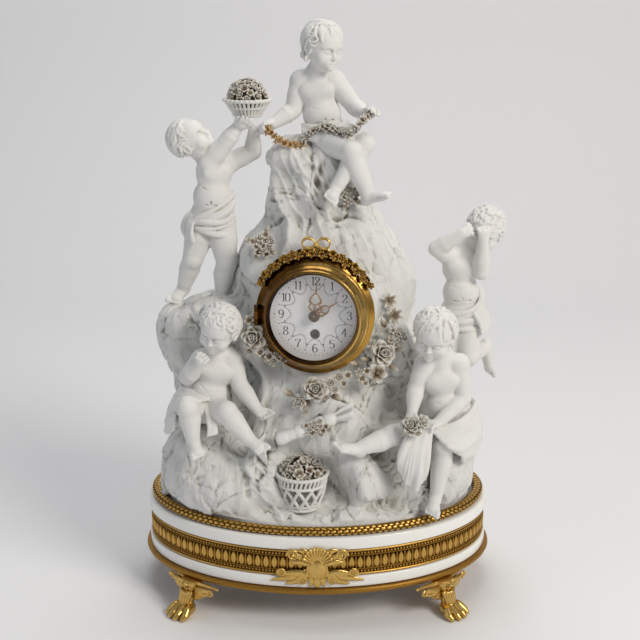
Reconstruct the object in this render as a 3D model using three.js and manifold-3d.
// Figural mantel clock: a biscuit porcelain group on an oval gilt-mounted plinth,
// with a gilt drum clock set in its rockwork. Millimetres, +X right, -Y front, +Z up.
import * as THREE from 'three';
import { mergeVertices } from 'three/addons/utils/BufferGeometryUtils.js';
import Module from 'manifold-3d';

const wasm = await Module();
wasm.setup();

// Clearance between pieces that seat on or inside each other
const FIT = 0.3;

// Oval plinth and its gilt mounts, from the floor up
const FOOT_HEIGHT = 34;
const RIM_THICKNESS = 5;
const RIM_PROUD = 4;
const RIM_INNER_WIDTH = 22;
const LOWER_BAND = 11;
const FRIEZE_HEIGHT = 27;
const FRIEZE_THICKNESS = 1.7;
const FRIEZE_RECESS = 1.5;
const FRIEZE_ROLL = 0.7;
const FRIEZE_EDGE = 2.4;
const UPPER_BAND = 12;
const PLINTH_HALF_WIDTH = 168;
const PLINTH_HALF_DEPTH = 116;
const PLINTH_WALL = 8;
const PLINTH_DECK = 9;
const BEAD_HEIGHT = 9;
const BEAD_WIDTH = 6;
const BEAD_SETBACK = 3;
const GROUND_MARGIN = 1.6;
const OVAL_SIDES = 28;

// Paw feet, set on the oval at this angle from the X axis
const FOOT_ANGLE = 46;
const FOOT_SPREAD = 33;
const PAW_LENGTH = 30;
const PAW_WIDTH = 24;
const PAW_REACH = 9;
const STUD_RADIUS = 2.5;
const NUT_HEIGHT = 4;
const NUT_RADIUS = 5;

// Bolt that clamps the porcelain group to the plinth
const BOLT_RADIUS = 4;
const BOLT_REACH = 26;
const BOLT_HEAD_RADIUS = 9;
const BOLT_HEAD_HEIGHT = 6;
const WASHER_RADIUS = 16;
const WASHER_THICKNESS = 2;

// Drum clock: its dial centre above the plinth's top, and how it is turned and leant back
const DIAL_CENTRE = [-2, -62, 197];
const DRUM_TURN = -7;
const DRUM_LEAN = -3;
const ROUND_SIDES = 20;
const DIAL_RADIUS = 44;
const DIAL_THICKNESS = 1.2;
const DIAL_FOOT_INSET = 8;
const SIGHT_INSET = 4.7;
const GLASS_SEAT = 1.5;
const BEZEL_MARGIN = 6;
const BEZEL_DEPTH = 14;
const FLANGE_MARGIN = 4.5;
const FLANGE_DEPTH = 8;
const FLANGE_BACK = 3;
const GLASS_THICKNESS = 1.6;
const CASE_MARGIN = 2.5;
const CASE_WALL = 2;
const CASE_LENGTH = 120;
const REAR_FLANGE_THICKNESS = 5;
const REAR_LEDGE = 10.5;
const REAR_DOOR_LAP = 1.8;
const REAR_DOOR_THICKNESS = 2;
const CASE_SCREW_RADIUS = 1.5;
const CASE_SCREW_INSET = 3.2;
const KNUCKLE_RADIUS = 2.4;
const KNUCKLE_LENGTH = 8;
const HINGE_PIN_RADIUS = 0.9;

// Going train and motion work, behind the dial
const WINDING_DROP = 18;
const WINDING_HOLE_RADIUS = 4.6;
const FRONT_PLATE_AT = 9;
const PLATE_THICKNESS = 2;
const PLATE_SPACING = 22;
const BACK_PLATE_INSET = 6.5;
const PILLAR_RADIUS = 2.2;
const PILLAR_INSET = 4;
const MOTION_CENTRES = 9.6;
const CANNON_LEAVES = 8;
const MINUTE_TEETH = 24;
const HOUR_TEETH = 24;
const MINUTE_LEAVES = 6;
const CENTRE_LEAVES = 6;
const BARREL_TEETH = 36;
const CENTRE_TEETH = 36;
const THIRD_LEAVES = 6;
const THIRD_WHEEL_TEETH = 24;
const THIRD_CENTRES = 14;
const THIRD_BEARING = 135;
const TOOTH_TIP = 0.45;
const TOOTH_ROOT = 0.95;
const GEAR_THICKNESS = 1.5;
const BALANCE_RADIUS = 9;
const MINUTE_HAND_LENGTH = 35;
const HOUR_HAND_LENGTH = 26;
const MINUTE_HAND_ANGLE = 4;
const HOUR_HAND_ANGLE = 58;

// Levels and radii that follow from the driving sizes
const RIM_TOP = FOOT_HEIGHT + RIM_THICKNESS;
const FRIEZE_BOTTOM = RIM_TOP + LOWER_BAND;
const FRIEZE_TOP = FRIEZE_BOTTOM + FRIEZE_HEIGHT;
const PLINTH_TOP = FRIEZE_TOP + UPPER_BAND;
const BEAD_TOP = PLINTH_TOP + BEAD_HEIGHT;
const BEAD_OUTER = PLINTH_HALF_DEPTH - BEAD_SETBACK;
const GROUND_RADIUS = BEAD_OUTER - BEAD_WIDTH - GROUND_MARGIN;
const GROUND_LEVEL = FIT;
const OVAL_STRETCH = PLINTH_HALF_WIDTH - PLINTH_HALF_DEPTH;
const SIGHT_RADIUS = DIAL_RADIUS - SIGHT_INSET;
const BEZEL_RADIUS = DIAL_RADIUS + BEZEL_MARGIN;
const FLANGE_RADIUS = BEZEL_RADIUS + FLANGE_MARGIN;
const CASE_RADIUS = DIAL_RADIUS + CASE_MARGIN;
const CASE_INNER = CASE_RADIUS - CASE_WALL;
const CASE_SCREW_CIRCLE = CASE_INNER - CASE_SCREW_INSET;
const REAR_OPENING_RADIUS = CASE_RADIUS - REAR_LEDGE;
const REAR_DOOR_RADIUS = REAR_OPENING_RADIUS + REAR_DOOR_LAP;
const BACK_PLATE_RADIUS = CASE_INNER - BACK_PLATE_INSET;
const PILLAR_CIRCLE = BACK_PLATE_RADIUS - PILLAR_INSET;
const BEZEL_BACK = FLANGE_BACK - FLANGE_DEPTH - FIT;
const BEZEL_FRONT = BEZEL_BACK - BEZEL_DEPTH;
const REAR_SEAT = FLANGE_BACK + CASE_LENGTH;
const PLATE_GAP_START = FRONT_PLATE_AT + PLATE_THICKNESS;
const BACK_PLATE_AT = PLATE_GAP_START + PLATE_SPACING;

const rad = THREE.MathUtils.degToRad;
const vec = (p) => new THREE.Vector3(p[0], p[1], p[2]);

// Finishes
function finish(color, roughness, metalness) {
  return new THREE.MeshStandardMaterial({ color, roughness, metalness });
}
const biscuit = () => finish(0xe8e7e3, 0.75, 0);
const glazed = () => finish(0xf2f2ee, 0.15, 0);
const gilt = () => finish(0xb8862b, 0.35, 1);
const brass = () => finish(0xc9a24a, 0.3, 1);
const steel = () => finish(0x8a8d90, 0.35, 1);
const enamel = () => finish(0xeceff2, 0.2, 0);
function clearGlass() {
  const material = finish(0xffffff, 0.05, 0);
  material.transparent = true;
  material.opacity = 0.3;
  return material;
}

// Merges shared vertices, drops empty triangles and turns the faces outward
function closedGeometry(geometry) {
  const bare = geometry.clone();
  bare.deleteAttribute('normal');
  bare.deleteAttribute('uv');
  const merged = mergeVertices(bare, 1e-4);
  const at = merged.attributes.position;
  const index = merged.index.array;
  const kept = [];
  let volume = 0;
  const a = new THREE.Vector3();
  const b = new THREE.Vector3();
  const c = new THREE.Vector3();
  for (let i = 0; i < index.length; i += 3) {
    const [p, q, r] = [index[i], index[i + 1], index[i + 2]];
    if (p === q || q === r || r === p) continue;
    kept.push(p, q, r);
    a.fromBufferAttribute(at, p);
    b.fromBufferAttribute(at, q);
    c.fromBufferAttribute(at, r);
    volume += a.dot(b.cross(c));
  }
  if (volume < 0) kept.reverse();
  merged.setIndex(kept);
  return merged;
}

function solid(geometry) {
  const shape = closedGeometry(geometry);
  return new wasm.Manifold(new wasm.Mesh({
    numProp: 3,
    vertProperties: new Float32Array(shape.attributes.position.array),
    triVerts: new Uint32Array(shape.index.array),
  }));
}

function joined(solids) {
  return solids.reduce((whole, next) => whole.add(next));
}

function geometryOf(body) {
  const mesh = body.getMesh();
  const geometry = new THREE.BufferGeometry();
  const position = new Float32Array(mesh.vertProperties);
  geometry.setAttribute('position', new THREE.BufferAttribute(position, 3));
  geometry.setIndex(new THREE.BufferAttribute(new Uint32Array(mesh.triVerts), 1));
  geometry.computeVertexNormals();
  return geometry;
}

function piece(parent, name, body, material) {
  const mesh = new THREE.Mesh(geometryOf(body), material);
  mesh.name = name;
  parent.add(mesh);
  return mesh;
}

// Turned form about Z, from a profile of [radius, height] points
function turned(profile, sides = ROUND_SIDES) {
  const points = profile.map(([radius, height]) => new THREE.Vector2(radius, height));
  const geometry = new THREE.LatheGeometry(points, sides);
  geometry.rotateX(Math.PI / 2);
  return geometry;
}

// A ring's profile, closed on itself
function ring(profile, sides = ROUND_SIDES) {
  return turned([...profile, profile[0]], sides);
}

// Turned form about the clock's front-to-back axis, from [radius, y] points
function drumTurned(profile, sides = ROUND_SIDES) {
  const geometry = ring(profile, sides);
  geometry.rotateX(-Math.PI / 2);
  return geometry;
}

// Turned about Z, then widened along X so that the plinth's outline is its oval
function ovalTurned(profile, sides = OVAL_SIDES) {
  const geometry = turned(profile, sides);
  const at = geometry.attributes.position;
  for (let i = 0; i < at.count; i += 1) {
    const radius = Math.hypot(at.getX(i), at.getY(i));
    if (radius < 1e-6) continue;
    const wider = radius + OVAL_STRETCH * Math.min(radius / PLINTH_HALF_DEPTH, 1);
    at.setX(i, (at.getX(i) * wider) / radius);
  }
  return geometry;
}

function ovalRing(inner, outer, bottom, top) {
  return ovalTurned([[inner, bottom], [outer, bottom], [outer, top], [inner, top], [inner, bottom]]);
}

// A point on an oval that lies the given distance outside the plinth's wall
function onOval(angle, offset) {
  const x = (PLINTH_HALF_WIDTH + offset) * Math.cos(rad(angle));
  const y = (PLINTH_HALF_DEPTH + offset) * Math.sin(rad(angle));
  return [x, y];
}

// Limb lofted through round sections, one at each point, and rounded at both ends
function limb(path, girths, sides = 6) {
  const points = path.map(vec);
  const last = points.length - 1;
  const geometry = turned([[0, 0], ...girths.map((_, i) => [1, i + 1]), [0, last + 2]], sides);
  const along = points.map((_, i) => {
    const from = points[Math.max(i - 1, 0)];
    const to = points[Math.min(i + 1, last)];
    return to.clone().sub(from).normalize();
  });
  const across = [];
  along.forEach((axis, i) => {
    const guide = i === 0 ? new THREE.Vector3(0.3, 0.9, 0.31) : across[i - 1];
    across.push(guide.clone().addScaledVector(axis, -guide.dot(axis)).normalize());
  });
  const at = geometry.attributes.position;
  for (let i = 0; i < at.count; i += 1) {
    const section = Math.round(at.getZ(i)) - 1;
    const k = Math.min(Math.max(section, 0), last);
    const place = points[k].clone();
    if (section < 0) place.addScaledVector(along[0], -girths[0] * 0.8);
    if (section > last) place.addScaledVector(along[last], girths[last] * 0.8);
    const side = across[k].clone().multiplyScalar(at.getX(i) * girths[k]);
    const up = along[k].clone().cross(across[k]).multiplyScalar(at.getY(i) * girths[k]);
    place.add(side).add(up);
    at.setXYZ(i, place.x, place.y, place.z);
  }
  return solid(geometry);
}

function between(a, b, share) {
  return vec(a).lerp(vec(b), share).toArray();
}

function ball(centre, radii, across = 5, up = 4) {
  const geometry = new THREE.SphereGeometry(1, across, up);
  geometry.rotateX(Math.PI / 2);
  geometry.scale(...radii);
  geometry.translate(...centre);
  return solid(geometry);
}

function rod(centre, radius, from, to, sides = 8) {
  const geometry = new THREE.CylinderGeometry(radius, radius, to - from, sides);
  geometry.translate(centre[0], (from + to) / 2, centre[1]);
  return solid(geometry);
}

function upright(centre, radius, from, to, sides = 8) {
  const geometry = new THREE.CylinderGeometry(radius, radius, to - from, sides);
  geometry.rotateX(Math.PI / 2);
  geometry.translate(centre[0], centre[1], (from + to) / 2);
  return solid(geometry);
}

// Flat plate that faces the front, from a shape drawn in X and Z
function facing(shape, front, back, curveSegments = 6) {
  const geometry = new THREE.ExtrudeGeometry(shape, {
    depth: back - front,
    bevelEnabled: false,
    curveSegments,
  });
  geometry.rotateX(Math.PI / 2);
  geometry.translate(0, back, 0);
  return solid(geometry);
}

function roundShape(radius, holes, sides = ROUND_SIDES) {
  const circle = (x, z, r, n) => {
    const points = [];
    for (let i = 0; i < n; i += 1) {
      const turn = (i / n) * Math.PI * 2;
      points.push(new THREE.Vector2(x + r * Math.cos(turn), z + r * Math.sin(turn)));
    }
    return points;
  };
  const shape = new THREE.Shape(circle(0, 0, radius, sides));
  for (const [x, z, r] of holes) shape.holes.push(new THREE.Path(circle(x, z, r, 8)));
  return shape;
}

// Tube along a smooth curve through a few points
function tube(points, radius, steps, sides = 6) {
  const section = new THREE.Shape();
  for (let i = 0; i < sides; i += 1) {
    const turn = (i / sides) * Math.PI * 2;
    const [x, y] = [radius * Math.cos(turn), radius * Math.sin(turn)];
    if (i === 0) section.moveTo(x, y);
    else section.lineTo(x, y);
  }
  const path = new THREE.CatmullRomCurve3(points.map(vec));
  const geometry = new THREE.ExtrudeGeometry(section, {
    steps,
    extrudePath: path,
    bevelEnabled: false,
  });
  return solid(geometry);
}

// Oval plinth

function plinth() {
  const outer = PLINTH_HALF_DEPTH;
  const groove = outer - FRIEZE_RECESS - FRIEZE_THICKNESS - FIT;
  const inner = outer - PLINTH_WALL;
  const bottom = RIM_TOP + FIT;
  const body = solid(ovalTurned([
    [0, PLINTH_TOP],
    [outer, PLINTH_TOP],
    [outer, FRIEZE_TOP],
    [groove, FRIEZE_TOP],
    [groove, FRIEZE_BOTTOM],
    [outer, FRIEZE_BOTTOM],
    [outer, bottom],
    [inner, bottom],
    [inner, PLINTH_TOP - PLINTH_DECK],
    [0, PLINTH_TOP - PLINTH_DECK],
  ]));
  return body.subtract(upright([0, 0], BOLT_RADIUS + FIT, RIM_TOP, BEAD_TOP));
}

function friezeBand() {
  const inner = PLINTH_HALF_DEPTH - FRIEZE_RECESS - FRIEZE_THICKNESS;
  const roll = PLINTH_HALF_DEPTH - FRIEZE_RECESS / 2;
  const field = roll - FRIEZE_ROLL;
  const [low, high] = [FRIEZE_BOTTOM + FIT, FRIEZE_TOP - FIT];
  return solid(ovalTurned([
    [inner, low], [roll, low], [roll, low + FRIEZE_EDGE], [field, low + FRIEZE_EDGE + FRIEZE_ROLL],
    [field, high - FRIEZE_EDGE - FRIEZE_ROLL], [roll, high - FRIEZE_EDGE], [roll, high],
    [inner, high], [inner, low],
  ]));
}

function beadedRim() {
  const outer = BEAD_OUTER;
  return solid(ovalTurned([
    [outer - BEAD_WIDTH, PLINTH_TOP + FIT],
    [outer, PLINTH_TOP + FIT],
    [outer + 1.2, PLINTH_TOP + BEAD_HEIGHT * 0.45],
    [outer - 1, BEAD_TOP - 1],
    [outer - BEAD_WIDTH, BEAD_TOP],
    [outer - BEAD_WIDTH, PLINTH_TOP + FIT],
  ]));
}

function bottomRim() {
  const outer = PLINTH_HALF_DEPTH + RIM_PROUD;
  const ledge = PLINTH_HALF_DEPTH - PLINTH_WALL - FIT;
  const inner = PLINTH_HALF_DEPTH - RIM_INNER_WIDTH;
  let body = solid(ovalTurned([
    [inner, FOOT_HEIGHT],
    [outer, FOOT_HEIGHT],
    [outer - 1, RIM_TOP],
    [ledge, RIM_TOP],
    [ledge, RIM_TOP - 2],
    [inner, RIM_TOP - 2],
    [inner, FOOT_HEIGHT],
  ]));
  for (const place of footPlaces()) {
    body = body.subtract(upright(place.stud, STUD_RADIUS + 2 * FIT, 0, PLINTH_TOP, 6));
  }
  return body;
}

// Leafy cast mount that bridges the front of the frieze, bent to the oval
function frontMount() {
  const middle = (FRIEZE_BOTTOM + FRIEZE_TOP) / 2;
  const half = [
    [0, 16], [9, 17], [14, 13], [20, 17], [27, 14], [27, 6], [22, 1], [28, -5],
    [38, -10], [46, -17], [35, -19], [24, -17], [18, -22], [8, -23.5], [0, -25],
  ];
  const mirrored = half.slice(1, -1).reverse().map(([x, z]) => [-x, z]);
  const outline = [...half, ...mirrored].map(([x, z]) => new THREE.Vector2(x, middle + z));
  const front = PLINTH_HALF_DEPTH + RIM_PROUD;
  const plate = facing(new THREE.Shape(outline), -front - 1, -PLINTH_HALF_DEPTH * 0.8);
  const shell = solid(ovalRing(PLINTH_HALF_DEPTH + FIT, front, FOOT_HEIGHT, PLINTH_TOP));
  const boss = ball([0, -PLINTH_HALF_DEPTH - 1, middle - 4], [13, RIM_PROUD, 16], 10, 8);
  const clear = solid(ovalTurned([
    [0, FOOT_HEIGHT], [PLINTH_HALF_DEPTH + FIT, FOOT_HEIGHT],
    [PLINTH_HALF_DEPTH + FIT, PLINTH_TOP], [0, PLINTH_TOP],
  ]));
  const rimClear = solid(ovalRing(PLINTH_HALF_DEPTH - 2, front + 1, 0, RIM_TOP + FIT));
  return plate.intersect(shell).add(boss.intersect(shell)).subtract(clear).subtract(rimClear);
}

// Where the feet stand: paw direction, pad and stud places
function footPlaces() {
  const names = ['rear_right', 'rear_left', 'front_left', 'front_right'];
  const angles = [FOOT_ANGLE, 180 - FOOT_ANGLE, 180 + FOOT_ANGLE, -FOOT_ANGLE];
  return angles.map((angle, i) => {
    const stud = onOval(angle, -PLINTH_WALL - (RIM_INNER_WIDTH - PLINTH_WALL) * 0.6);
    const pad = onOval(angle, 0);
    const out = Math.atan2(pad[1] - stud[1], pad[0] - stud[0]);
    return { name: names[i], stud, pad, out };
  });
}

// Lion-paw foot under an acanthus bracket, with the stud that holds it to the rim
function pawFoot(place) {
  const top = FOOT_HEIGHT - FIT;
  const reach = FOOT_SPREAD;
  const bracketDepth = 8.6;
  const bracketShape = new THREE.Shape([
    [-reach, top], [-reach, top - 3], [-reach / 2, top - 6], [-11, top - 13],
    [11, top - 13], [reach / 2, top - 6], [reach, top - 3], [reach, top],
  ].map(([x, z]) => new THREE.Vector2(x, z)));
  const bracket = new THREE.ExtrudeGeometry(bracketShape, { depth: bracketDepth, bevelEnabled: false });
  bracket.rotateX(Math.PI / 2);
  bracket.translate(0, 4, 0);
  const arm = new THREE.BoxGeometry(10, RIM_INNER_WIDTH, 4);
  arm.translate(0, RIM_INNER_WIDTH / 2 - 2, top - 2.8);
  const foot = geometryOf(joined([bracket, turnedLeg(top - 3), pawPad(), arm].map(solid)));
  foot.rotateZ(place.out + Math.PI / 2);
  foot.translate(place.pad[0], place.pad[1], 0);
  const stud = upright(place.stud, STUD_RADIUS, FOOT_HEIGHT - 4, RIM_TOP + NUT_HEIGHT - 1, 6);
  return solid(foot).add(stud);
}

// Paw with scalloped toes, its edges rounded over
function pawPad() {
  const round = 2.5;
  const half = PAW_WIDTH / 2 - round;
  const front = PAW_LENGTH * 0.72 - round;
  const toe = half / 2;
  const outline = new THREE.Shape();
  outline.moveTo(-half * 0.7, -PAW_LENGTH * 0.28 + round);
  outline.lineTo(-half, front * 0.6);
  for (let i = 0; i < 4; i += 1) {
    const x = -half + i * toe;
    const reach = i === 1 || i === 2 ? front : front * 0.86;
    outline.lineTo(x + toe * 0.25, reach);
    outline.lineTo(x + toe * 0.75, reach);
    if (i < 3) outline.lineTo(x + toe, front * 0.72);
  }
  outline.lineTo(half, front * 0.6);
  outline.lineTo(half * 0.7, -PAW_LENGTH * 0.28 + round);
  const pad = new THREE.ExtrudeGeometry(outline, {
    depth: 9 - 2 * round,
    bevelEnabled: true,
    bevelThickness: round,
    bevelSize: round,
    bevelSegments: 1,
  });
  pad.rotateX(Math.PI);
  pad.translate(0, -PAW_REACH, 9 - round);
  return pad;
}

// Leg of a paw foot: knee under the bracket, narrow ankle, slanting out into the paw
function turnedLeg(top) {
  const leg = turned([[0, 4], [9.5, 4], [7.6, 15], [11.5, top], [0, top]], 6);
  const at = leg.attributes.position;
  for (let i = 0; i < at.count; i += 1) {
    at.setY(i, at.getY(i) - 4 - PAW_REACH * (1 - at.getZ(i) / top));
  }
  return leg;
}

function footNut(place) {
  const bottom = RIM_TOP - 2 + FIT;
  const nut = upright(place.stud, NUT_RADIUS, bottom, bottom + NUT_HEIGHT, 6);
  return nut.subtract(upright(place.stud, STUD_RADIUS + FIT, 0, PLINTH_TOP, 6));
}

function tieBolt() {
  const deckBottom = PLINTH_TOP - PLINTH_DECK;
  const headTop = deckBottom - WASHER_THICKNESS - 2 * FIT;
  const head = upright([0, 0], BOLT_HEAD_RADIUS, headTop - BOLT_HEAD_HEIGHT, headTop, 6);
  return head.add(upright([0, 0], BOLT_RADIUS, headTop - 1, PLINTH_TOP + BOLT_REACH));
}

function tieWasher() {
  const top = PLINTH_TOP - PLINTH_DECK - FIT;
  const washer = upright([0, 0], WASHER_RADIUS, top - WASHER_THICKNESS, top, 12);
  return washer.subtract(upright([0, 0], BOLT_RADIUS + FIT, RIM_TOP, BEAD_TOP));
}

// Rockwork

// Boulders that shape the mound: centre, then half-sizes. Heights in the porcelain group
// and in the drum clock are measured from the plinth's top.
const ROCKS = [
  [[-92, -18, 29], [64, 80, 60]],
  [[92, -6, 27], [62, 74, 58]],
  [[0, 2, 89], [82, 82, 82]],
  [[4, 4, 199], [90, 66, 88]],
  [[2, 0, 296], [50, 42, 50]],
  [[-8, 0, 336], [43, 33, 17]],
  [[32, -4, 261], [36, 40, 32]],
  [[-117, 2, 161], [38, 40, 43]],
  [[-108, 16, 111], [36, 42, 52]],
  [[134, 12, 61], [32, 36, 37]],
  [[116, -52, 45], [36, 38, 40]],
  [[-106, -46, 61], [32, 34, 33]],
  [[-128, 4, 174], [26, 28, 26]],
  [[98, 8, 116], [36, 40, 52]],
  [[46, -78, 41], [18, 22, 30]],
  [[6, -18, 249], [60, 36, 30]],
  [[-60, -38, 167], [20, 17, 26]],
  [[68, -38, 157], [24, 19, 34]],
  [[-56, -78, 41], [28, 22, 36]],
];

// Where the wet clay was pressed in or built out by hand: place, spread, and rise (or depth)
const TOOLING = [
  [[66, -63, 66], 21, -13],
  [[-66, -89, 48], 17, -10],
  [[-92, -84, 48], 12, -6],
  [[6, -42, 304], 14, -9],
  [[-69, -32, 203], 16, -8],
  [[58, -55, 100], 14, -6],
  [[-113, -20, 105], 18, -10],
  [[-36, -22, 334], 14, 5],
  [[-40, -26, 316], 10, -6],
  [[-41, -24, 292], 13, 5],
  [[-44, -22, 268], 11, -6],
  [[92, -12, 220], 14, 8],
  [[76, -18, 243], 14, 5],
  [[58, -24, 284], 15, -6],
  [[-61, -24, 249], 13, 6],
  [[-127, -53, 75], 14, 5],
  [[88, -26, 178], 14, -6],
  [[40, 52, 240], 20, 7],
  [[-30, 60, 200], 22, -8],
  [[50, 70, 130], 20, -7],
  [[-60, 64, 110], 22, 7],
];

// The mound is lofted from level sections, with shallow upright folds worn into its sides
const MOUND_SIDES = 32;
const MOUND_LEVELS = 24;
const MOUND_TOP = 351;
const FOLD_DEPTH = 3.2;
const GROUND_STEP = 6;
const GROUND_RISE = 40;
const TOP_CROWN = 2;

// How far the rock reaches from the upright axis at one level, on the bearing of a unit vector
function rockReach(x, y, z) {
  let reach = 0;
  for (const [[centreX, centreY, centreZ], [wide, deep, high]] of ROCKS) {
    const share = 1 - ((z - centreZ) / high) ** 2;
    if (share <= 0) continue;
    const [a, b] = [wide * Math.sqrt(share), deep * Math.sqrt(share)];
    const p = (x / a) ** 2 + (y / b) ** 2;
    const q = (x * centreX) / a ** 2 + (y * centreY) / b ** 2;
    const r = (centreX / a) ** 2 + (centreY / b) ** 2 - 1;
    const inside = q * q - p * r;
    if (inside > 0) reach = Math.max(reach, (q + Math.sqrt(inside)) / p);
  }
  const bearing = Math.atan2(y, x);
  const folded = reach + FOLD_DEPTH * Math.sin(7 * bearing + z / 23) * Math.sin(z / 31 + bearing);
  const place = [x * folded, y * folded, z];
  return TOOLING.reduce((sum, [centre, spread, rise]) => {
    const away = Math.hypot(...place.map((value, i) => value - centre[i]));
    return sum + rise * Math.exp(-((away / spread) ** 2));
  }, folded);
}

// The oval edge of the ground, inside the beaded rim
function groundReach(x, y) {
  const wide = (GROUND_RADIUS * PLINTH_HALF_WIDTH) / PLINTH_HALF_DEPTH;
  return 1 / Math.hypot(x / wide, y / GROUND_RADIUS);
}

// How far the mound reaches at a level: the ground's rise, or the rock if that stands out more
function moundReach(x, y, z, grow) {
  const clearOfRim = BEAD_HEIGHT + FIT + 1;
  const edge = groundReach(x, y);
  if (z < clearOfRim + 1) return edge + grow;
  const rise = edge * (1 - (z - clearOfRim) / GROUND_RISE);
  const near = [z - grow, z, z + grow].map((level) => rockReach(x, y, level));
  return Math.max(rise, ...near) + grow;
}

// The whole mound as one body, grown by a clearance when other pieces are cut by it
function mass(grow) {
  const clearOfRim = BEAD_HEIGHT + FIT + 1;
  const levels = [GROUND_LEVEL - grow, clearOfRim];
  const start = clearOfRim + GROUND_STEP;
  for (let i = 0; i < MOUND_LEVELS; i += 1) {
    levels.push(start + ((MOUND_TOP - start) * i) / (MOUND_LEVELS - 1));
  }
  const outline = levels.map((level) => [1, level]);
  const profile = [[0, levels[0]], ...outline, [0, MOUND_TOP + TOP_CROWN + grow]];
  const geometry = turned(profile, MOUND_SIDES);
  const at = geometry.attributes.position;
  for (let i = 0; i < at.count; i += 1) {
    const [x, y, z] = [at.getX(i), at.getY(i), at.getZ(i)];
    if (Math.hypot(x, y) < 0.5) continue;
    const reach = moundReach(x, y, z, grow);
    at.setXYZ(i, x * reach, y * reach, z > MOUND_TOP - 1 ? z + grow : z);
  }
  return solid(geometry);
}

// The space the drum clock fills: a bore with a shallow seat at each end
function drumSpace() {
  const seat = FLANGE_RADIUS + 2;
  const bore = CASE_RADIUS + FIT;
  const geometry = turned([
    [0, -60], [seat, -60], [seat, FLANGE_BACK + FIT], [bore, FLANGE_BACK + FIT],
    [bore, REAR_SEAT], [seat, REAR_SEAT], [seat, REAR_SEAT + 60], [0, REAR_SEAT + 60],
  ]);
  geometry.rotateX(-Math.PI / 2);
  placeInDrum(geometry);
  return solid(geometry);
}

function placeInDrum(geometry) {
  geometry.rotateX(rad(DRUM_LEAN));
  geometry.rotateZ(rad(DRUM_TURN));
  geometry.translate(...DIAL_CENTRE);
  return geometry;
}

function rockMound() {
  const boltHole = upright([0, 0], BOLT_RADIUS + FIT, -5, BOLT_REACH + 2);
  return mass(0).subtract(drumSpace()).subtract(boltHole);
}

// Figures

// Girths of a child's body: the head's half-sizes, then each limb from its root
const HEAD = [16.5, 17.5, 19.5];
const HIPS = 18;
const TRUNK = [HIPS, 19, 18.5, 10, 8];
const ARM = [10, 9.5, 8.5, 6.8, 6.6, 5.6];
const LEG = [14, 12.5, 9.5, 9.2, 6, 4.6];

function armPath(collar, [shoulder, elbow, hand]) {
  return [
    collar, shoulder, between(shoulder, elbow, 0.45), elbow,
    between(elbow, hand, 0.4), hand,
  ];
}

function legPath([hip, knee, ankle, toes]) {
  return [hip, between(hip, knee, 0.45), knee, between(knee, ankle, 0.4), ankle, toes];
}

function figure(pose, extras, grow = 0) {
  const { head, neck, chest, pelvis } = pose;
  const fuller = (sizes) => sizes.map((size) => size + grow);
  const collar = between(chest, neck, 0.5);
  const trunk = [pelvis, between(pelvis, chest, 0.45), chest, between(chest, neck, 0.85), head];
  const parts = [ball(head, fuller(HEAD), 7, 5), limb(trunk, fuller(TRUNK), 7)];
  for (const arm of [pose.leftArm, pose.rightArm]) {
    parts.push(limb(armPath(collar, arm), fuller(ARM), 5));
  }
  for (const leg of [pose.leftLeg, pose.rightLeg]) {
    parts.push(limb(legPath(leg), fuller(LEG), 5));
  }
  return joined([...parts, ...extras]);
}

const TOP_POSE = {
  head: [5.8, -12, 434],
  neck: [2, -4, 412],
  chest: [0, -3, 391],
  pelvis: [7, 0, 357],
  leftArm: [[-15, 0, 402], [-22, -5, 376], [-44, -18, 362]],
  rightArm: [[15.5, -2, 402], [34, -6, 379], [46, -25, 373]],
  leftLeg: [[4, -6, 351], [30, -42, 343], [46, -44, 303], [60, -54, 309]],
  rightLeg: [[17, -4, 353], [42, -32, 349], [20, -44, 315], [14, -54, 305]],
};

const LEFT_HIGH_POSE = {
  head: [-117, -2, 349],
  neck: [-104, 0, 332],
  chest: [-96, 0, 315],
  pelvis: [-100, 0, 279],
  leftArm: [[-101, -6, 327], [-84, -9, 347], [-69, -10, 366]],
  rightArm: [[-83, 6, 326], [-60, 8, 336], [-59, 4, 361]],
  leftLeg: [[-108, 0, 271], [-118, -4, 236], [-129, 6, 205], [-136, -5, 199]],
  rightLeg: [[-91, 0, 271], [-86, -6, 233], [-92, 0, 199], [-97, -13, 194]],
};

const RIGHT_HIGH_POSE = {
  head: [160, 12, 261],
  neck: [147, 12, 244],
  chest: [138, 10, 222],
  pelvis: [139, 12, 183],
  leftArm: [[127, 8, 236], [113, 0, 245], [140, -8, 264]],
  rightArm: [[152, 8, 233], [156, -2, 223], [156, -10, 261]],
  leftLeg: [[131, 12, 173], [130, 6, 137], [126, 14, 97], [122, 0, 91]],
  rightLeg: [[146, 12, 173], [146, -2, 139], [164, 12, 143], [168, 16, 117]],
};

const LEFT_LOW_POSE = {
  head: [-90, -62, 184],
  neck: [-94, -56, 162],
  chest: [-94, -54, 140],
  pelvis: [-106, -48, 104],
  leftArm: [[-107, -54, 152], [-120, -60, 137], [-105, -74, 154]],
  rightArm: [[-80, -51, 153], [-72, -57, 128], [-52, -70, 103]],
  leftLeg: [[-113, -52, 103], [-118, -84, 115], [-114, -84, 83], [-109, -96, 78]],
  rightLeg: [[-98, -54, 101], [-83, -82, 111], [-63, -86, 86], [-52, -97, 83]],
};

const RIGHT_LOW_POSE = {
  head: [106, -72, 182],
  neck: [114, -63, 160],
  chest: [114, -61, 133],
  pelvis: [120, -53, 91],
  leftArm: [[99, -62, 149], [91, -66, 128], [86, -84, 107]],
  rightArm: [[131, -59, 149], [135, -62, 117], [105, -86, 96]],
  leftLeg: [[109, -56, 85], [68, -84, 88], [38, -96, 80], [23, -106, 88]],
  rightLeg: [[130, -52, 83], [116, -84, 78], [111, -84, 33], [106, -96, 20]],
};

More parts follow.
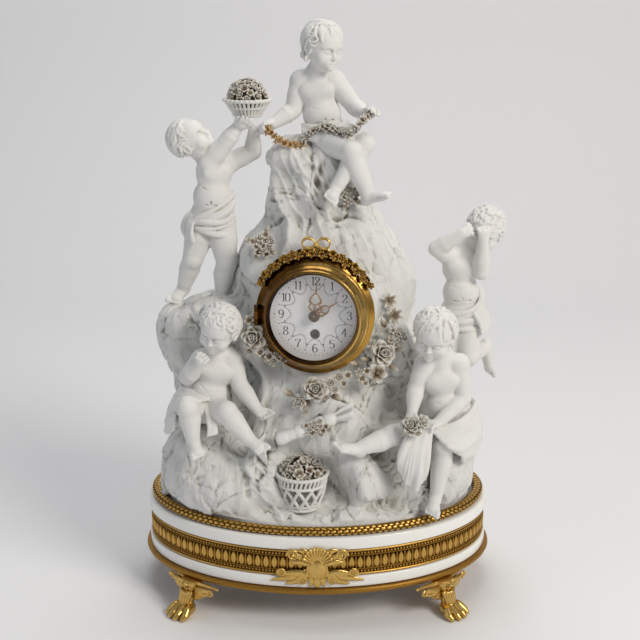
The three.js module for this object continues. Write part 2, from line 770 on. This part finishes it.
// Cloth tied round the hips: a belt of soft folds, fuller on one side
function hipCloth(pelvis, drop, fullness) {
  const [x, y, z] = pelvis;
  const cloth = turned([
    [0, z + 6], [HIPS + 1, z + 5], [HIPS + fullness, z - drop * 0.4],
    [HIPS + fullness - 1, z - drop], [0, z - drop + 3],
  ], 10);
  cloth.translate(x, y, 0);
  return solid(cloth);
}

function makeFigures(rock) {
  const cloth = {
    knot: ball([-124, -4, 273], [8, 7, 7]),
    lap: ball([140, -58, 83], [17, 26, 22], 6, 5),
    seat: ball([-122, -52, 101], [20, 22, 15], 6, 5),
  };
  const raised = basketBody(RAISED_BASKET, FIT, true);
  return {
    putto_top: figure(TOP_POSE, []).subtract(rock),
    putto_left_high: figure(LEFT_HIGH_POSE, [
      hipCloth(LEFT_HIGH_POSE.pelvis, 22, 5), cloth.knot,
    ]).subtract(rock).subtract(raised),
    putto_right_high: figure(RIGHT_HIGH_POSE, [
      hipCloth(RIGHT_HIGH_POSE.pelvis, 30, 5),
    ]).subtract(rock),
    putto_left_low: figure(LEFT_LOW_POSE, [cloth.seat]).subtract(rock),
    putto_right_low: figure(RIGHT_LOW_POSE, [cloth.lap]).subtract(rock),
  };
}

// Baskets, bouquets and applied flowers

const RAISED_BASKET = {
  centre: [-64, -2], bottom: 369.5, height: 17, foot: 12, rim: 22, wall: 2.5, dome: 21,
};
const FRONT_BASKET = {
  centre: [-14, -83], bottom: 17, height: 36, foot: 15, rim: 24.5, wall: 3, dome: 16,
};

// A flared basket; filled up when it only has to clear a space
function basketBody(size, grow, filled = false) {
  const top = size.bottom + size.height;
  const inside = filled ? [] : [
    [size.rim - size.wall, top], [size.foot - size.wall + 1, size.bottom + size.wall],
  ];
  const basket = turned([
    [0, size.bottom - grow],
    [size.foot + grow, size.bottom - grow],
    [size.rim * 0.9 + grow, top - 4 - grow],
    [size.rim + grow, top - 3 - grow],
    [size.rim + grow, top + grow],
    ...inside,
    [0, filled ? top + grow : size.bottom + size.wall],
  ], 14);
  basket.translate(...size.centre, 0);
  return solid(basket);
}

// Domed heap of blossoms that rests inside a basket's rim
function bouquet(size) {
  const top = size.bottom + size.height;
  const radius = size.rim - size.wall - FIT - 1;
  const heap = new THREE.IcosahedronGeometry(1, 2);
  const at = heap.attributes.position;
  const point = new THREE.Vector3();
  for (let i = 0; i < at.count; i += 1) {
    point.fromBufferAttribute(at, i);
    const lump = 1 + 0.04 * Math.sin(7 * point.x) * Math.sin(6 * point.y + 1);
    at.setXYZ(i, point.x * lump, point.y * lump, point.z * (point.z > 0 ? 1 : 0.2));
  }
  heap.scale(radius, radius, size.dome);
  heap.translate(...size.centre, top - 1);
  return solid(heap).subtract(basketBody(size, FIT));
}

function garland() {
  const path = [
    [51, -27, 376], [41, -34, 369], [31, -40, 360], [19, -32, 360], [6, -24, 362],
    [-7, -20, 355], [-15, -17, 345],
  ];
  return tube(path, 4.2, 12).subtract(figure(TOP_POSE, [], FIT));
}

// Closed quiver with a rolled band near each end, laid against the rock
const QUIVER = { low: [-33, -88.5, 87], high: [32, -83, 112], radius: 5.5, band: 6.6 };

function quiver() {
  const { low, high, radius, band } = QUIVER;
  const shares = [0, 0.27, 0.3, 0.36, 0.72, 0.75, 0.81, 1];
  const girths = [radius, radius, band, radius, radius, band, radius, radius];
  return limb(shares.map((share) => between(low, high, share)), girths, 8);
}

// Each side spray is a row of blossoms on one stem, set out from the drum's flange: bearing
// clockwise from the top, distance outside the edge, y, and the blossom's radius
const SIDE_SPRAYS = {
  rose_spray_left: [[-140.5, 5.6, -6.3, 5], [-128, 6, -3.9, 6.5], [-113.5, 11, -2, 9]],
  rose_spray_right: [[130.2, 22.5, 7.8, 5], [120.8, 20.6, 10, 9], [110.3, 21.3, 13.1, 7.5]],
};

// The spray on the rock below the dial: centres and radii
const CENTRE_SPRAY = [
  [-13, -79, 119, 7], [0, -79, 129, 9], [13, -77, 123, 6], [23, -75, 133, 6.5],
];

function spray(blossoms) {
  const stem = limb(blossoms.map((place) => place.slice(0, 3)), blossoms.map(() => 3.5), 4);
  const flowers = blossoms.map(([x, y, z, radius]) => (
    ball([x, y, z], [radius, radius, radius], 5, 4)
  ));
  return joined([stem, ...flowers]);
}

function sideSpray(blossoms) {
  const places = blossoms.map(([bearing, outside, y, radius]) => {
    const reach = FLANGE_RADIUS + outside;
    return [reach * Math.sin(rad(bearing)), y, reach * Math.cos(rad(bearing)), radius];
  });
  return solid(placeInDrum(geometryOf(spray(places))));
}

// Front bezel, dial and crest, drawn about the dial's centre

// A hinge knuckle on an upright axis, with its hole, and the block that carries it
function knuckle(place, bottom, top, block) {
  const barrelPart = upright(place, KNUCKLE_RADIUS, bottom, top);
  const [left, right, front, back] = block;
  const box = new THREE.BoxGeometry(right - left, back - front, top - bottom);
  box.translate((left + right) / 2, (front + back) / 2, (bottom + top) / 2);
  const hole = upright(place, HINGE_PIN_RADIUS + FIT, bottom - 1, top + 1, 6);
  return { body: barrelPart.add(solid(box)), hole };
}

const BEZEL_HINGE = [-BEZEL_RADIUS - KNUCKLE_RADIUS - FIT, BEZEL_BACK - KNUCKLE_RADIUS - FIT];
const REAR_HINGE = [
  REAR_DOOR_RADIUS + KNUCKLE_RADIUS + 0.3,
  REAR_SEAT + REAR_FLANGE_THICKNESS + KNUCKLE_RADIUS + 2 * FIT,
];

// Joins the two outer knuckles of a hinge to the plate that stays put
function fixedKnuckles(plate, hinge, plateFace) {
  let body = plate;
  const [x, y] = hinge;
  const block = [x - 1.8, x + 1.8, Math.min(y, plateFace), Math.max(y, plateFace)];
  const gap = KNUCKLE_LENGTH / 2 + FIT;
  for (const [low, high] of [[gap, gap + 5], [-gap - 5, -gap]]) {
    const part = knuckle(hinge, low, high, block);
    body = body.add(part.body).subtract(part.hole);
  }
  return body;
}

function hingePin(hinge) {
  const reach = KNUCKLE_LENGTH / 2 + FIT + 5.5;
  return upright(hinge, HINGE_PIN_RADIUS, -reach, reach, 6);
}

function bezelFlange() {
  const front = FLANGE_BACK - FLANGE_DEPTH;
  const inner = DIAL_RADIUS + FIT;
  const plate = solid(drumTurned([
    [inner, front], [BEZEL_RADIUS, front], [BEZEL_RADIUS + 2, front + 1.5],
    [FLANGE_RADIUS, front + 3], [FLANGE_RADIUS, FLANGE_BACK], [inner, FLANGE_BACK],
  ]));
  return fixedKnuckles(plate, BEZEL_HINGE, front + 4);
}

// Stepped and hollowed bezel that holds the glass behind its sight edge
function bezelFrame() {
  const seat = DIAL_RADIUS - GLASS_SEAT;
  const frame = solid(drumTurned([
    [seat, BEZEL_BACK],
    [BEZEL_RADIUS - 0.5, BEZEL_BACK],
    [BEZEL_RADIUS, BEZEL_BACK - 2.5],
    [BEZEL_RADIUS - 4.2, BEZEL_BACK - 7.5],
    [BEZEL_RADIUS - 7.5, BEZEL_FRONT],
    [SIGHT_RADIUS + 1, BEZEL_FRONT],
    [SIGHT_RADIUS, BEZEL_BACK - 8.5],
    [seat, BEZEL_BACK - 8],
  ]));
  const [x, y] = BEZEL_HINGE;
  const half = KNUCKLE_LENGTH / 2;
  const part = knuckle(BEZEL_HINGE, -half, half, [x, x + 5, y - 1.5, y + 2]);
  return frame.add(part.body).subtract(part.hole);
}

function bezelGlass() {
  const radius = DIAL_RADIUS - GLASS_SEAT - FIT;
  const front = BEZEL_BACK - 8 + FIT;
  return solid(drumTurned([
    [0, front - 0.8], [radius, front + 0.2],
    [radius, front + GLASS_THICKNESS], [0, front + GLASS_THICKNESS - 1],
  ]));
}

// Cast garland of flowers over the top of the flange, tied with a ribbon bow
const CREST_FLOWERS = 8;

function crest() {
  const inner = FLANGE_RADIUS + FIT;
  const [reach, steps] = [60, 8];
  const outline = [];
  for (let i = 0; i <= steps; i += 1) {
    const turn = rad(-reach + (2 * reach * i) / steps);
    outline.push(new THREE.Vector2(inner * Math.sin(turn), inner * Math.cos(turn)));
  }
  for (let i = steps; i >= 0; i -= 1) {
    const turn = rad(-reach + (2 * reach * i) / steps);
    const radius = inner + 3 + 2.5 * Math.cos(turn);
    outline.push(new THREE.Vector2(radius * Math.sin(turn), radius * Math.cos(turn)));
  }
  const solids = [facing(new THREE.Shape(outline), FLANGE_BACK - FLANGE_DEPTH, 1)];
  for (let i = 0; i < CREST_FLOWERS; i += 1) {
    const turn = rad(-reach + 6 + ((2 * reach - 12) * i) / (CREST_FLOWERS - 1));
    const place = [(inner + 4.6) * Math.sin(turn), -4.5, (inner + 4.6) * Math.cos(turn)];
    solids.push(ball(place, [5, 4, 4.5], 5, 3));
  }
  for (const side of [-1, 1]) {
    const loop = new THREE.TorusGeometry(4.6, 1.5, 4, 7);
    loop.rotateX(Math.PI / 2);
    loop.scale(1.25, 1, 0.9);
    loop.translate(side * 6.3 + 1, -3.5, inner + 10.5);
    solids.push(solid(loop));
  }
  const span = FLANGE_DEPTH + 1;
  const flangeSpace = solid(drumTurned([[0, -span], [inner, -span], [inner, span], [0, span]]));
  return joined(solids).subtract(flangeSpace);
}

function disc(radius, holes, front, thickness, sides = ROUND_SIDES) {
  return facing(roundShape(radius, holes, sides), front, front + thickness);
}

// Enamelled dial with the three feet that pin it to the front plate
function dial() {
  const holes = [[0, 0, 3.8], [0, -WINDING_DROP, WINDING_HOLE_RADIUS]];
  const circle = DIAL_RADIUS - DIAL_FOOT_INSET;
  const feet = [90, 210, 330].map((turn) => {
    const place = [circle * Math.cos(rad(turn)), circle * Math.sin(rad(turn))];
    return rod(place, 1.4, DIAL_THICKNESS - 0.5, FRONT_PLATE_AT - FIT, 6);
  });
  return joined([disc(DIAL_RADIUS, holes, 0, DIAL_THICKNESS), ...feet]);
}

// Pierced gilt hand: a boss ring, an open leaf and a long point
function hand(length, angle, front, eye) {
  const outer = eye + 1.6;
  const wide = length * 0.16;
  const outline = new THREE.Shape();
  outline.absarc(0, 0, outer, rad(115), rad(425), false);
  outline.lineTo(wide * 0.5, length * 0.22);
  outline.lineTo(wide, length * 0.38);
  outline.lineTo(wide * 0.4, length * 0.58);
  outline.lineTo(0.5, length * 0.66);
  outline.lineTo(0.4, length);
  outline.lineTo(-0.4, length);
  outline.lineTo(-0.5, length * 0.66);
  outline.lineTo(-wide * 0.4, length * 0.58);
  outline.lineTo(-wide, length * 0.38);
  outline.lineTo(-wide * 0.5, length * 0.22);
  const centre = new THREE.Path();
  centre.absarc(0, 0, eye, 0, Math.PI * 2, true);
  const opening = new THREE.Path([
    [0, length * 0.27], [wide * 0.5, length * 0.4], [0, length * 0.55], [-wide * 0.5, length * 0.4],
  ].map(([x, z]) => new THREE.Vector2(x, z)));
  outline.holes.push(centre, opening);
  const geometry = geometryOf(facing(outline, front, front + HAND_THICKNESS, 5));
  geometry.rotateY(rad(angle));
  return solid(geometry);
}

// Movement

function pitchRadius(teeth, mate, centres) {
  return (centres * teeth) / (teeth + mate);
}

// Toothed disc whose tooth, or gap, faces the mating gear's centre
function gear(teeth, mate, centres, front, thickness, bearing, gapFacing, bore = 0) {
  const pitch = pitchRadius(teeth, mate, centres);
  const size = (2 * pitch) / teeth;
  const start = rad(bearing) + (gapFacing ? Math.PI / teeth : 0);
  const points = [];
  for (let i = 0; i < teeth; i += 1) {
    const turn = start + (i / teeth) * Math.PI * 2;
    const half = Math.PI / teeth;
    const tip = pitch + TOOTH_TIP * size;
    const root = pitch - TOOTH_ROOT * size;
    points.push(new THREE.Vector2(tip * Math.cos(turn), tip * Math.sin(turn)));
    points.push(new THREE.Vector2(root * Math.cos(turn + half), root * Math.sin(turn + half)));
  }
  const shape = new THREE.Shape(points);
  if (bore) shape.holes.push(new THREE.Path(roundShape(bore, [], 10).getPoints()));
  return facing(shape, front, front + thickness);
}

function shifted(body, x, z) {
  const geometry = geometryOf(body);
  geometry.translate(x, 0, z);
  return solid(geometry);
}

const ARBOR_RADIUS = 1;
const CANNON_RADIUS = 1.7;
const HOUR_PIPE_RADIUS = 2.9;
const HOUR_HAND_AT = -4.2;
const MINUTE_HAND_AT = -6.6;
const HAND_THICKNESS = 0.8;
const WHEEL_AT = PLATE_GAP_START + 2.2;
const GREAT_WHEEL_AT = WHEEL_AT + 10.5;
const THIRD_PLACE = [
  THIRD_CENTRES * Math.cos(rad(THIRD_BEARING)),
  THIRD_CENTRES * Math.sin(rad(THIRD_BEARING)),
];

function sleeve(inner, outer, front, back) {
  return solid(drumTurned([[inner, front], [outer, front], [outer, back], [inner, back]], 10));
}

function cannonPinion() {
  const leaves = gear(
    CANNON_LEAVES, MINUTE_TEETH, MOTION_CENTRES, 5.6, 2.9, 0, false, ARBOR_RADIUS + FIT,
  );
  return leaves.add(sleeve(ARBOR_RADIUS + FIT, CANNON_RADIUS, MINUTE_HAND_AT - 0.2, 5.7));
}

function minuteWheel() {
  const wheel = gear(MINUTE_TEETH, CANNON_LEAVES, MOTION_CENTRES, 6.2, GEAR_THICKNESS, 180, true);
  const pinion = gear(MINUTE_LEAVES, HOUR_TEETH, MOTION_CENTRES, 2.2, 4.1, 180, false);
  const post = rod([0, 0], 0.8, 7, PLATE_GAP_START - 0.5, 6);
  return shifted(joined([wheel, pinion, post]), MOTION_CENTRES, 0);
}

function hourWheel() {
  const inner = CANNON_RADIUS + FIT;
  const wheel = gear(HOUR_TEETH, MINUTE_LEAVES, MOTION_CENTRES, 2.5, GEAR_THICKNESS, 0, true, inner);
  return wheel.add(sleeve(inner, HOUR_PIPE_RADIUS, HOUR_HAND_AT - 0.2, 2.6));
}

function centreWheel() {
  const wheel = gear(
    CENTRE_TEETH, THIRD_LEAVES, THIRD_CENTRES, WHEEL_AT, GEAR_THICKNESS, THIRD_BEARING, false,
  );
  const pinion = gear(
    CENTRE_LEAVES, BARREL_TEETH, WINDING_DROP, GREAT_WHEEL_AT - 1, 3.5, 270, true,
  );
  const arbor = rod([0, 0], ARBOR_RADIUS, MINUTE_HAND_AT - 1.6, BACK_PLATE_AT + 1, 6);
  return joined([wheel, pinion, arbor]);
}

function thirdWheel() {
  const bearing = THIRD_BEARING + 180;
  const pinion = gear(
    THIRD_LEAVES, CENTRE_TEETH, THIRD_CENTRES, WHEEL_AT - 0.6, 2.7, bearing, true,
  );
  const wheel = gear(THIRD_WHEEL_TEETH, 8, 11, WHEEL_AT + 15, 1.2, 0, false);
  const arbor = rod([0, 0], 0.8, PLATE_GAP_START - 1, BACK_PLATE_AT + 1, 6);
  return shifted(joined([pinion, wheel, arbor]), ...THIRD_PLACE);
}

const WINDING_ARBOR_RADIUS = 2.6;

function barrel() {
  const inner = WINDING_ARBOR_RADIUS + FIT;
  const outer = pitchRadius(BARREL_TEETH, CENTRE_LEAVES, WINDING_DROP) - 1.6;
  const drum = drumTurned([
    [inner, WHEEL_AT + 2.2], [outer, WHEEL_AT + 2.2],
    [outer, GREAT_WHEEL_AT + 0.2], [inner, GREAT_WHEEL_AT + 0.2],
  ], 16);
  const teeth = gear(
    BARREL_TEETH, CENTRE_LEAVES, WINDING_DROP, GREAT_WHEEL_AT, GEAR_THICKNESS, 90, false, inner + 0.2,
  );
  return shifted(solid(drum).add(teeth), 0, -WINDING_DROP);
}

// Winding arbor: square end at the dial, round body and the click's ratchet wheel
function windingArbor() {
  const square = new THREE.BoxGeometry(3.8, 7, 3.8);
  square.translate(0, DIAL_THICKNESS + 3.8, 0);
  const body = rod([0, 0], WINDING_ARBOR_RADIUS, 7.8, BACK_PLATE_AT + 1);
  const ratchet = gear(16, 16, 14, PLATE_GAP_START + FIT, 1.2, 0, false);
  return shifted(joined([solid(square), body, ratchet]), 0, -WINDING_DROP);
}

function frontPlate() {
  return disc(CASE_INNER - FIT, [
    [0, 0, CANNON_RADIUS + 0.6],
    [0, -WINDING_DROP, WINDING_ARBOR_RADIUS + FIT],
    [MOTION_CENTRES, 0, 1.2],
    [...THIRD_PLACE, 1.2],
    [0, CASE_SCREW_CIRCLE, CASE_SCREW_RADIUS + FIT],
    [0, -CASE_SCREW_CIRCLE, CASE_SCREW_RADIUS + FIT],
  ], FRONT_PLATE_AT, PLATE_THICKNESS);
}

function backPlate() {
  return disc(BACK_PLATE_RADIUS, [
    [0, 0, ARBOR_RADIUS + FIT],
    [0, -WINDING_DROP, WINDING_ARBOR_RADIUS + FIT],
    [...THIRD_PLACE, 1.2],
  ], BACK_PLATE_AT, PLATE_THICKNESS, 20);
}

function pillar(turn) {
  const place = [PILLAR_CIRCLE * Math.cos(rad(turn)), PILLAR_CIRCLE * Math.sin(rad(turn))];
  return rod(place, PILLAR_RADIUS, PLATE_GAP_START + FIT, BACK_PLATE_AT - FIT, 6);
}

// Lever platform on two short pillars behind the back plate
const PLATFORM_AT = BACK_PLATE_AT + PLATE_THICKNESS + 3;
const BALANCE_PLACE = [0, 15];
const COCK_AT = PLATFORM_AT + 8.5;

function platform() {
  const plate = new THREE.BoxGeometry(28, 1.5, 24);
  plate.translate(0, PLATFORM_AT + 0.75, BALANCE_PLACE[1]);
  const feet = [-11, 11].map((x) => (
    rod([x, BALANCE_PLACE[1]], 1.5, BACK_PLATE_AT + PLATE_THICKNESS + FIT, PLATFORM_AT + 0.5, 6)
  ));
  return joined([solid(plate), ...feet]);
}

function balanceCock() {
  const arm = new THREE.BoxGeometry(5, 1.4, 15);
  arm.translate(0, COCK_AT + 0.7, BALANCE_PLACE[1] + 5.2);
  const post = new THREE.BoxGeometry(5, COCK_AT + 1 - PLATFORM_AT - 1.5 - FIT, 2.4);
  post.translate(0, (COCK_AT + 1 + PLATFORM_AT + 1.5 + FIT) / 2, BALANCE_PLACE[1] + 11.4);
  return solid(arm).add(solid(post));
}

function balanceWheel() {
  const front = PLATFORM_AT + 4;
  const rim = drumTurned([
    [BALANCE_RADIUS - 1.2, front], [BALANCE_RADIUS, front],
    [BALANCE_RADIUS, front + 1.2], [BALANCE_RADIUS - 1.2, front + 1.2],
  ], 16);
  const arms = new THREE.BoxGeometry(2 * BALANCE_RADIUS - 1, 0.8, 1.4);
  arms.translate(0, front + 0.6, 0);
  const staff = rod([0, 0], 0.6, PLATFORM_AT + 1.5 + FIT, COCK_AT - FIT, 6);
  return shifted(joined([solid(rim), solid(arms), staff]), ...BALANCE_PLACE);
}

// Drum case, its rear flange and door

function drumCase() {
  return solid(drumTurned([
    [CASE_INNER, FLANGE_BACK + FIT], [CASE_RADIUS, FLANGE_BACK + FIT],
    [CASE_RADIUS, REAR_SEAT], [CASE_INNER, REAR_SEAT],
  ]));
}

function rearFlange() {
  const front = REAR_SEAT + FIT;
  const back = front + REAR_FLANGE_THICKNESS;
  let plate = solid(drumTurned([
    [REAR_OPENING_RADIUS, front], [FLANGE_RADIUS, front], [FLANGE_RADIUS, back - 2],
    [FLANGE_RADIUS - 3, back], [REAR_OPENING_RADIUS, back],
  ]));
  for (const side of [-1, 1]) {
    const place = [0, side * CASE_SCREW_CIRCLE];
    plate = plate.subtract(rod(place, CASE_SCREW_RADIUS + FIT, front - 5, back + 5));
  }
  return fixedKnuckles(plate, REAR_HINGE, back - 1);
}

function caseScrew(side) {
  const place = [0, side * CASE_SCREW_CIRCLE];
  const seat = REAR_SEAT + REAR_FLANGE_THICKNESS + 2 * FIT;
  const shank = rod(place, CASE_SCREW_RADIUS, FRONT_PLATE_AT + 0.5, seat + 1);
  return shank.add(rod(place, CASE_SCREW_RADIUS + 1.1, seat, seat + 1.8));
}

function rearDoor() {
  const front = REAR_SEAT + REAR_FLANGE_THICKNESS + 2 * FIT;
  const leaf = solid(drumTurned([
    [0, front], [REAR_DOOR_RADIUS, front], [REAR_DOOR_RADIUS, front + REAR_DOOR_THICKNESS],
    [REAR_DOOR_RADIUS - 6, front + REAR_DOOR_THICKNESS + 0.8], [0, front + REAR_DOOR_THICKNESS + 0.8],
  ]));
  const [x, y] = REAR_HINGE;
  const half = KNUCKLE_LENGTH / 2;
  const part = knuckle(REAR_HINGE, -half, half, [x - 4.5, x, y - 2, y + 1]);
  const knob = ball([-REAR_DOOR_RADIUS + 6, front + 4.5, 0], [2.6, 3, 2.6]);
  return joined([leaf, part.body, knob]).subtract(part.hole);
}

// Assembly

const clock = new THREE.Group();
piece(clock, 'plinth', plinth(), glazed());
piece(clock, 'frieze_band', friezeBand(), gilt());
piece(clock, 'beaded_rim', beadedRim(), gilt());
piece(clock, 'bottom_rim', bottomRim(), gilt());
piece(clock, 'front_mount', frontMount(), gilt());
for (const place of footPlaces()) {
  piece(clock, `foot_${place.name}`, pawFoot(place), gilt());
  piece(clock, `foot_nut_${place.name}`, footNut(place), steel());
}
piece(clock, 'tie_bolt', tieBolt(), steel());
piece(clock, 'tie_washer', tieWasher(), steel());

// Everything above the plinth stands on its top
const group = new THREE.Group();
group.position.z = PLINTH_TOP;
clock.add(group);
piece(group, 'rock_mound', rockMound(), biscuit());
const rockSpace = mass(FIT).subtract(drumSpace());
for (const [name, body] of Object.entries(makeFigures(rockSpace))) {
  piece(group, name, body, biscuit());
}
piece(group, 'raised_basket', basketBody(RAISED_BASKET, 0), biscuit());
piece(group, 'raised_bouquet', bouquet(RAISED_BASKET), biscuit());
piece(group, 'front_basket', basketBody(FRONT_BASKET, 0).subtract(rockSpace), biscuit());
piece(group, 'front_bouquet', bouquet(FRONT_BASKET).subtract(rockSpace), biscuit());
piece(group, 'garland', garland().subtract(rockSpace), biscuit());
piece(group, 'quiver', quiver().subtract(rockSpace), biscuit());
const seated = [figure(LEFT_LOW_POSE, [], FIT), figure(RIGHT_LOW_POSE, [], FIT)];
for (const [name, blossoms] of Object.entries(SIDE_SPRAYS)) {
  const clear = joined([rockSpace, ...seated]);
  piece(group, name, sideSpray(blossoms).subtract(clear), biscuit());
}
piece(group, 'rose_spray_centre', spray(CENTRE_SPRAY).subtract(rockSpace), biscuit());

// The drum clock hangs in two nested groups: one turned, one leant back
const turnedGroup = new THREE.Group();
turnedGroup.position.set(...DIAL_CENTRE);
turnedGroup.rotation.z = rad(DRUM_TURN);
const drum = new THREE.Group();
drum.rotation.x = rad(DRUM_LEAN);
turnedGroup.add(drum);
group.add(turnedGroup);

piece(drum, 'bezel_flange', bezelFlange(), gilt());
piece(drum, 'bezel_frame', bezelFrame(), gilt());
piece(drum, 'bezel_glass', bezelGlass(), clearGlass());
piece(drum, 'bezel_hinge_pin', hingePin(BEZEL_HINGE), gilt());
piece(drum, 'crest', crest(), gilt());
piece(drum, 'dial', dial(), enamel());
const minuteHand = hand(
  MINUTE_HAND_LENGTH, MINUTE_HAND_ANGLE, MINUTE_HAND_AT, CANNON_RADIUS + FIT,
);
piece(drum, 'minute_hand', minuteHand, gilt());
const hourHand = hand(
  HOUR_HAND_LENGTH, HOUR_HAND_ANGLE, HOUR_HAND_AT, HOUR_PIPE_RADIUS + FIT,
);
piece(drum, 'hour_hand', hourHand, gilt());
const collet = solid(drumTurned([
  [ARBOR_RADIUS + FIT, MINUTE_HAND_AT - 3], [4, MINUTE_HAND_AT - 2.6],
  [5.2, MINUTE_HAND_AT - FIT], [ARBOR_RADIUS + FIT, MINUTE_HAND_AT - FIT],
], 12));
piece(drum, 'hand_collet', collet, gilt());
piece(drum, 'cannon_pinion', cannonPinion(), steel());
piece(drum, 'minute_wheel', minuteWheel(), brass());
piece(drum, 'hour_wheel', hourWheel(), brass());
piece(drum, 'front_plate', frontPlate(), brass());
piece(drum, 'back_plate', backPlate(), brass());
[90, 205, 335].forEach((turn, i) => {
  piece(drum, `pillar_${i + 1}`, pillar(turn), brass());
});
piece(drum, 'spring_barrel', barrel(), brass());
piece(drum, 'winding_arbor', windingArbor(), steel());
piece(drum, 'centre_wheel', centreWheel(), brass());
piece(drum, 'third_wheel', thirdWheel(), brass());
piece(drum, 'escapement_platform', platform(), brass());
piece(drum, 'balance_cock', balanceCock(), brass());
piece(drum, 'balance_wheel', balanceWheel(), brass());
piece(drum, 'drum_case', drumCase(), brass());
piece(drum, 'rear_flange', rearFlange(), gilt());
piece(drum, 'rear_door', rearDoor(), gilt());
piece(drum, 'rear_hinge_pin', hingePin(REAR_HINGE), gilt());
piece(drum, 'case_screw_upper', caseScrew(1), steel());
piece(drum, 'case_screw_lower', caseScrew(-1), steel());

export default clock;
